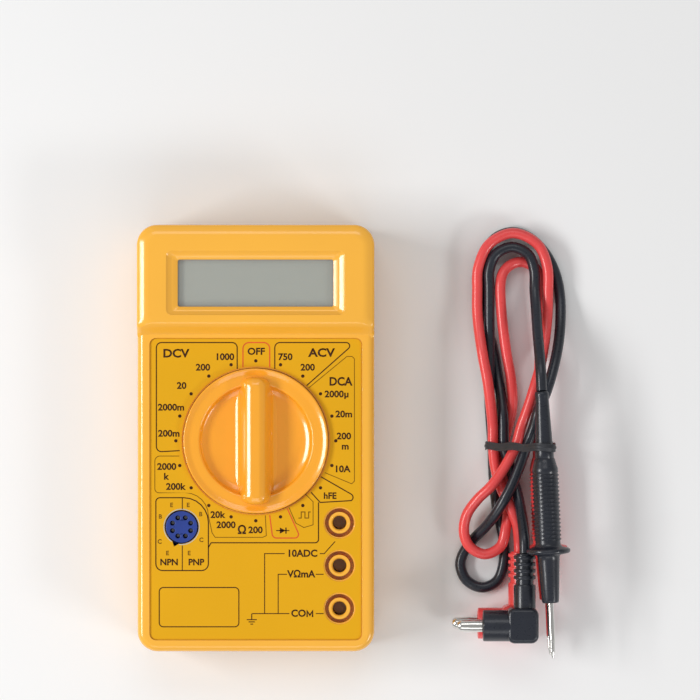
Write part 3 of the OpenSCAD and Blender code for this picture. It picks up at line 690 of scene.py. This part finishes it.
def orange_print():
    """Frames of OFF and of the diode range."""
    ink = Print("print_orange")
    ink.line([(-3.8, 21.0)] + bow(-2, 26.5, 1.8, 180, 90) + bow(2.3, 26.5, 1.8, 90, 0)
             + [(4.1, 21.0)], 0.34)
    ink.line([(4.1, -22.6)] + bow(6.1, -28.1, 1.3, 188, 270) + bow(11.5, -28.3, 1.1, 270, 385)
             + [(9.3, -20.7)], 0.34)
    return ink.finish(INK_ORANGE)


def olive_print():
    """Thin frames of the current, square wave and resistance ranges."""
    ink = Print("print_olive")
    ink.line([(15.6, 14.9), (26.9, 24.2), (28.4, 24.2), (29.1, 23.5), (29.1, -12.6), (28.3, -13.4),
              (20.4, -10.1)], 0.22)
    ink.line([(14.7, -16.5), (16.9, -18.7), (16.9, -25.5), (14.2, -26.3), (11.8, -25.0),
              (9.8, -20.4)], 0.22)
    ink.line([(-22.6, -5.2)] + bow(-28.3, -6.7, 1.5, 90, 180) + bow(-28.6, -14.85, 1.2, 180, 270)
             + [(-20.6, -16.05)]
             + bow(-20.8, -22.85, 6.8, 90, 0) + [(-12.9, -27.9), (-12.0, -29.2), (2.0, -29.2),
                                                (3.1, -28.7), (2.8, -22.7)], 0.22)
    for text, x, y in PIN_LETTERS:
        ink.words(text, x, y, 1.3)
    ink.line([(12.6, -23.5), (13.4, -23.5), (13.4, -21.7), (14.5, -21.7), (14.5, -23.5),
              (15.6, -23.5), (15.6, -21.7), (16.2, -21.7)], 0.28)
    return ink.finish(INK_OLIVE)


def socket_edge_ring():
    """Thin pale line laid on the label round the transistor socket, standing in for the pale edge of the
    socket's hole.
    """
    ink = Print("socket_edge_line")
    ink.line(bow(*SOCKET, 5.22, KEY_ANGLE + 13, KEY_ANGLE + 347, 47), 0.28)
    return ink.finish(SOCKET_EDGE_PALE)


socket_edge_ring()
dark_print()
orange_print()
olive_print()

# ---------- Test leads ----------

CORD_D = 3.2
PROBE = Matrix.Translation((86 * MM, -21.6 * MM, 0)) @ Matrix.Rotation(math.radians(2.4), 4, "Z")
ALONG_Y = Matrix.Rotation(math.radians(-90), 4, "X")
ALONG_X = Matrix.Rotation(math.radians(90), 4, "Y")


def lifted(z):
    return Matrix.Translation((0, 0, z * MM))


def probe_handle(name, z, material, slot, node):
    """Tapered nose, finger guard and ribbed grip, turned along the probe."""
    profile = [(0.95, -27.1), (2.2, -27.1), (2.45, -26.9), (2.55, -26.4), (2.9, -20.5), (3.2, -14.6),
               (3.3, -13.4), (3.6, -12.9), (6.0, -12.5), (6.4, -12.2), (6.5, -11.7), (6.4, -11.3),
               (6.0, -11.0), (4.3, -10.6), (3.8, -10.1), (3.7, -9.4)]
    for k in range(17):
        y = -8.6 + 1.18 * k
        profile += [(3.7, y), (3.95, y + 0.1), (4.0, y + 0.2), (4.0, y + 0.44), (3.95, y + 0.56),
                    (3.7, y + 0.66)]
    profile += [(3.7, 11.3), (3.85, 11.6), (3.85, 12.5), (3.7, 13.0), (3.3, 14.4), (3.1, 15.3),
                (2.9, 15.6)]
    piece = skin(name, turned_rings(profile, steps=48))
    piece.data.transform(lifted(z) @ PROBE @ ALONG_Y)
    smooth(piece, 50)
    return finished(piece, material, "test_leads", slot, node)


def probe_boot(name, z, material, slot, node):
    """Smooth sleeve over the cord, with a bead at each end."""
    profile = [(2.75, 15.62), (2.8, 15.7), (2.8, 17.6), (2.74, 18.2), (2.55, 21), (2.3, 26), (2.08, 31),
               (1.98, 33.6), (2.06, 34.0), (2.1, 34.5), (2.04, 35.0), (1.85, 35.4), (1.65, 35.5)]
    piece = skin(name, turned_rings(profile, steps=40))
    piece.data.transform(lifted(z) @ PROBE @ ALONG_Y)
    smooth(piece, 50)
    return finished(piece, material, "test_leads", slot, node)


def plug_body(name, x, z, material, slot, node):
    """Right-angled plug: rounded block, ribbed leg for the cord and shroud round the pin."""
    block = plate_rings(-5.3, 4, -60.9, -50.4, 2.2, -4.7, 4.7, top=1.3, foot=1.3)
    pin_y = -55.9
    bm = bmesh.new()
    add_rings(bm, block)
    leg = [(2.6, -51.4), (3.25, -51.2), (3.25, -44.1), (3.1, -43.7), (2.6, -43.6)]
    for k in range(4):
        y = -42.1 + 2 * k
        leg += [(2.6, y), (3.1, y + 0.05), (3.25, y + 0.25), (3.25, y + 0.95), (3.1, y + 1.15),
                (2.6, y + 1.2)]
    leg += [(2.6, -34.7), (2.3, -34.4)]
    shroud = [(0.01, 7.5), (3.4, 7.5), (3.4, 0.35), (3.6, 0.05), (3.8, 0), (4.3, 0), (4.55, 0.12),
              (4.65, 0.4), (4.65, 8), (0.01, 8)]
    for profile, place in ((leg, ALONG_Y), (shroud, Matrix.Translation((-12.4 * MM, pin_y * MM, 0))
                                            @ ALONG_X)):
        part = bmesh.new()
        add_rings(part, turned_rings(profile, steps=48))
        mesh = bpy.data.meshes.new("turned")
        part.to_mesh(mesh)
        part.free()
        mesh.transform(place)
        bm.from_mesh(mesh)
        bpy.data.meshes.remove(mesh)
    piece = mesh_object(name, bm)
    piece.data.transform(Matrix.Translation((x * MM, 0, z * MM)))
    smooth(piece, 40)
    return finished(piece, material, "test_leads", slot, node)


BLACK_ROUTE = [
    (84.5, 14, 19.6), (84.3, 20, 18.6), (84, 26, 15.6), (83.7, 32, 11.6), (83.5, 38, 8),
    (83.2, 44, 5.6), (83.1, 50, 4.9), (81.2, 54.8, 4.9), (76.4, 57, 4.9), (71.6, 54.8, 4.9),
    (69.6, 50, 4.9), (69.6, 45, 4.9), (69.6, 36, 4.9), (69.7, 27, 4.9), (69.6, 19, 4.7),
    (69.8, 10, 3.2), (70.3, 3, 2.5), (70.7, -2.7, 2.5), (70.9, -9, 1.8), (71.4, -16, 1.7),
    (72.3, -23, 1.6), (73.9, -30, 1.6), (74.2, -37, 1.6), (72.3, -43.1, 1.6), (67.6, -45.4, 1.6),
    (62.9, -43.2, 1.6), (61, -38.6, 1.6), (62.2, -34.6, 1.6), (64.8, -31, 1.6), (68, -27.6, 4),
    (71, -23.6, 7), (73.6, -19.2, 9), (76, -14.6, 9.4), (78.6, -8.4, 9.3), (80.6, -2.7, 9.1),
    (82.6, 3, 10.6), (84, 8.4, 12.2), (86.4, 14, 12.4), (88.6, 21, 10.4), (90.2, 28, 7.4),
    (91, 35, 4.4), (91, 42, 2.4), (89.8, 48.6, 1.6), (87, 54.6, 1.6), (82.6, 59.4, 1.6),
    (77, 61.6, 1.6), (71.6, 59.8, 1.6), (68.2, 55, 1.6), (67, 48.4, 1.6), (67.3, 41, 1.6),
    (68.8, 33.6, 1.6), (71, 26, 1.6), (72.2, 19, 2.2), (73.2, 12, 4), (73.8, 5, 5.6),
    (74, -2.7, 5.8), (75.6, -8, 5.6), (77.2, -14, 5.6), (78.6, -20, 7.6), (79.4, -26, 11.2),
    (79.7, -30.4, 13.6), (79.75, -34.4, 14.3)
]
RED_ROUTE = [
    (84.5, 14, 6.5), (84.6, 19, 5.4), (84.9, 25, 3.6), (85.4, 32, 2), (85.4, 39, 1.6),
    (85.3, 46.4, 1.6), (83.5, 50.8, 1.6), (79.2, 52.6, 2), (74.9, 50.8, 3.4), (73, 46.4, 4.7),
    (73.3, 37, 4.9), (74.6, 26, 4.9), (76.2, 17, 4.4), (76.6, 9, 3), (75.2, 2.5, 2.5),
    (74, -2.7, 2.5), (74.4, -9, 2.2), (75, -15, 2.2), (75.3, -21, 2.8), (74.6, -27.4, 4.7),
    (73, -32.8, 4.9), (68.4, -35.2, 4.9), (63.8, -33, 4.9), (62, -28.6, 4.9), (62.8, -23.4, 5.6),
    (66, -18.6, 7.6), (70, -14.6, 9), (73.6, -9.6, 9.1), (77.3, -2.7, 9.1), (78.9, 3, 9.4),
    (81, 9, 10.2), (83, 15.4, 10.2), (84.9, 22, 8.8), (86.2, 29, 6.8), (87, 36, 5.2),
    (87.2, 43, 4.9), (87, 51, 4.9), (84, 57.9, 4.9), (76.8, 61.2, 4.9), (69.6, 57.9, 4.9),
    (66.3, 50.8, 4.9), (66, 44, 4.9), (66, 37.4, 5.2), (66.6, 31, 6.4),
    (67.6, 24, 8.2), (69, 16.6, 8.2), (70, 9, 7.2), (70.6, 3, 6.2), (70.7, -2.7, 5.8),
    (71.4, -9, 5.2), (73, -15, 5.2), (75.6, -20.5, 6.4), (77.8, -26, 6.4), (78.5, -31, 5.1),
    (78.55, -34.4, 4.75)
]


def flowing(points, steps=6):
    """Catmull-Rom line through the points of a route."""
    pts = [Vector(p) * MM for p in points]
    pts = [2 * pts[0] - pts[1]] + pts + [2 * pts[-1] - pts[-2]]
    line = []
    for a, b, c, d in zip(pts, pts[1:], pts[2:], pts[3:]):
        for k in range(steps):
            t = k / steps
            place = 0.5 * (2 * b + (c - a) * t + (2 * a - 5 * b + 4 * c - d) * t * t
                           + (3 * b - a - 3 * c + d) * t * t * t)
            place.z = max(place.z, CORD_D / 2 * MM)
            line.append(place)
    line.append(pts[-2])
    return line


def lead(name, route, material, node):
    """One cord as a round curve along its route, attached to the same body as what hangs on it."""
    line = flowing(route)
    data = bpy.data.curves.new(name, "CURVE")
    data.dimensions = "3D"
    data.bevel_depth = CORD_D / 2 * MM
    data.bevel_resolution = 6
    data.use_fill_caps = True
    spline = data.splines.new("POLY")
    spline.points.add(len(line) - 1)
    for point, place in zip(spline.points, line):
        point.co = (*place, 1)
    obj = bpy.data.objects.new(name, data)
    bpy.context.collection.objects.link(obj)
    data.materials.append(material)
    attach(obj, "test_leads")
    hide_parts(node)
    return obj


def test_leads():
    black = MATERIALS["lead_black"]
    red = MATERIALS["lead_red"]
    for color, material, route, probe_z, x, plug_z in (
            ("red", red, RED_ROUTE, 6.5, 78.55, 4.75), ("black", black, BLACK_ROUTE, 19.6, 79.75, 14.3)):
        slot = "lead_" + color
        handle = probe_handle(color + "_handle", probe_z, material, slot, color + "_probe_handle")
        boot = probe_boot(color + "_boot", probe_z, material, slot, color + "_probe_boot")
        plug = plug_body(color + "_plug", x, plug_z, material, slot, color + "_plug_body")
        lead(color + "_cord", route, material, color + "_lead")


def hull(points):
    """Convex outline of points in a plane, anticlockwise."""
    pts = sorted(points)

    def half(seq):
        chain = []
        for p in seq:
            while len(chain) > 1:
                (ax, ay), (bx, by) = chain[-2], chain[-1]
                if (bx - ax) * (p[1] - ay) - (by - ay) * (p[0] - ax) > 0:
                    break
                chain.pop()
            chain.append(p)
        return chain[:-1]

    return half(pts) + half(reversed(pts))


def evenly(points, count):
    """The closed line through points, cut into equal steps."""
    closed = [Vector(p) for p in points] + [Vector(points[0])]
    lengths = [(b - a).length for a, b in zip(closed, closed[1:])]
    step = sum(lengths) / count
    made = []
    at = 0.0
    for a, b, length in zip(closed, closed[1:], lengths):
        while len(made) < count and len(made) * step < at + length:
            made.append(a.lerp(b, (len(made) * step - at) / length))
        at += length
    return made


def twist_tie():
    """Flat plastic tie with a wire core, drawn tight round the bundle."""
    bundle = [(70.7, 2.5, 1.6), (70.7, 5.8, 1.6), (80.6, 2.6, 1.6), (85.2, 6.5, 2.8), (85.2, 19.6, 2.8)]
    margin = 0.5
    count = 120
    middle_y = -2.7
    samples = []
    for cx, cz, r in bundle:
        samples += [(x, z) for x, z, _ in circle(cx, cz, r + margin, 0, 40)]
    loop = evenly(hull(samples), count)
    section = [(-1.2, 0.0), (-1.1, 0.16), (-0.5, 0.16), (-0.28, 0.32), (0, 0.38), (0.28, 0.32),
               (0.5, 0.16), (1.1, 0.16), (1.2, 0.0), (1.1, -0.16), (0, -0.2), (-1.1, -0.16)]
    bm = bmesh.new()
    rings = []
    for i, p in enumerate(loop):
        along = (loop[(i + 1) % count] - loop[i - 1]).normalized()
        out = Vector((along.y, -along.x))
        sway = 0.22 * math.sin(i * 0.35)
        rings.append([
            bm.verts.new(Vector((p.x + out.x * h, middle_y + w + sway, p.y + out.y * h)) * MM)
            for w, h in section
        ])
    for a, b in zip(rings, rings[1:] + rings[:1]):
        for k in range(len(section)):
            j = (k + 1) % len(section)
            bm.faces.new((a[k], a[j], b[j], b[k]))
    piece = smooth(mesh_object("tie", bm), 50)
    return finished(piece, MATERIALS["tie_black"], "test_leads", "tie_black", "twist_tie")


test_leads()
twist_tie()

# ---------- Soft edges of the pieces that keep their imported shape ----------

SOFT_NODES = {
    "front_label": 0.06, "transistor_socket": 0.18, "lcd_frame": 0.2, "main_board": 0.1,
    "battery": 0.8, "battery_snap": 0.4, "trimmer": 0.2, "capacitors": 0.5, "fuse_caps": 0.2,
    "jack_10a": 0.12, "jack_volt_ohm": 0.12, "jack_common": 0.12, "display_window": 0.1,
    "case_screws": 0.15, "board_screws": 0.15, "red_plug_pin": 0.1, "black_plug_pin": 0.1,
}
for node_name, width in SOFT_NODES.items():
    node = frame["nodes"][node_name]
    weld = node.modifiers.new("weld", "WELD")
    weld.merge_threshold = 0.002 * MM
    bevel = node.modifiers.new("soft edges", "BEVEL")
    bevel.width = width * MM
    bevel.segments = 2
    bevel.limit_method = "ANGLE"
    bevel.angle_limit = math.radians(40)

# ---------- Stage and light ----------


def floor():
    """Plain pale table top."""
    bm = bmesh.new()
    half = 3000
    bm.faces.new([bm.verts.new(Vector(p) * MM)
                  for p in ((-half, -half, -0.05), (half, -half, -0.05), (half, half, -0.05),
                            (-half, half, -0.05))])
    obj = mesh_object("floor", bm)
    obj.data.materials.append(surface("floor", (0.87, 0.87, 0.87), 0.6, 400, 0.01, 3, 0.01))


def softbox(name, place, aim, width, height, power):
    """A rectangular lamp at a place, turned towards its aim."""
    data = bpy.data.lights.new(name, "AREA")
    data.shape = "RECTANGLE"
    data.size = width
    data.size_y = height
    data.energy = power
    obj = bpy.data.objects.new(name, data)
    obj.location = place
    toward = (Vector(aim) - Vector(place)).normalized()
    obj.rotation_euler = toward.to_track_quat("-Z", "Y").to_euler()
    bpy.context.collection.objects.link(obj)


def studio():
    world = bpy.data.worlds.new("studio")
    world.use_nodes = True
    background = world.node_tree.nodes["Background"]
    background.inputs["Color"].default_value = (1, 1, 1, 1)
    background.inputs["Strength"].default_value = 0.37
    bpy.context.scene.world = world
    softbox("left", (-0.72, 0.0, 0.62), (0.02, 0.0, 0), 0.55, 0.22, 5.6)
    softbox("right", (0.72, -0.42, 0.5), (0.03, 0.0, 0), 0.3, 0.14, 1.9)
    softbox("above", (0.0, 0.8, 1.1), (0.02, 0.02, 0), 0.9, 0.4, 2.1)
    softbox("front", (0.0, -0.85, 0.85), (0.02, 0.0, 0), 0.9, 0.4, 1.8)


floor()
studio()
bpy.context.scene.view_settings.view_transform = "Standard"
